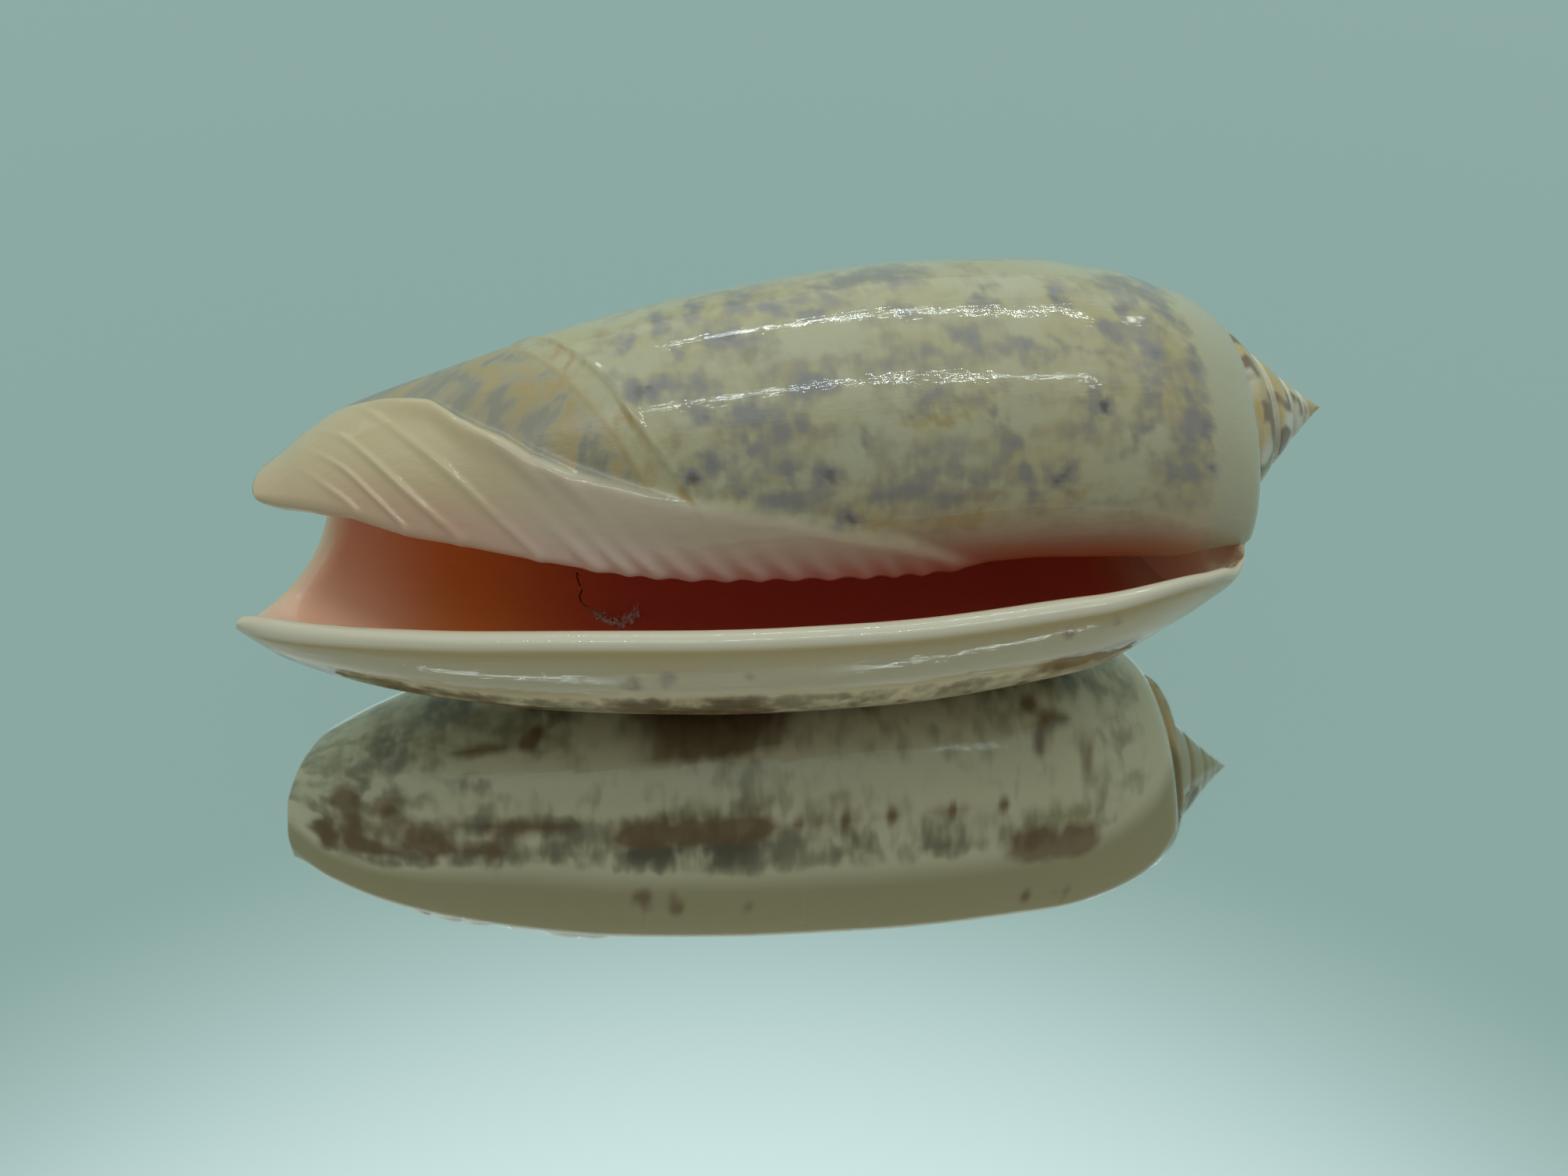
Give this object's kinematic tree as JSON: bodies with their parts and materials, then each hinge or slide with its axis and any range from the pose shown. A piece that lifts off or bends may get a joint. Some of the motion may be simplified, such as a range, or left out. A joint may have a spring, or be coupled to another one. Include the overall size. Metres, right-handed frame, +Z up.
{
  "type": "olive shell",
  "caption": "Glossy spindle-shaped sea shell lying on its back, with a short pointed spire, a long narrow aperture, a thick outer lip and a folded columella.",
  "frame": {"origin": "centre of the bounding box at its base, on the surface that the shell rests on", "axes": "+X along the shell toward the spire, +Y away from the outer lip, +Z up"},
  "size_m": [0.0442, 0.0184, 0.0167],
  "materials": {
    "shell": "gloss, cream with grey and brown mottling"
  },
  "bodies": {
    "root": {"shell": "shell"}
  },
  "joints": []
}
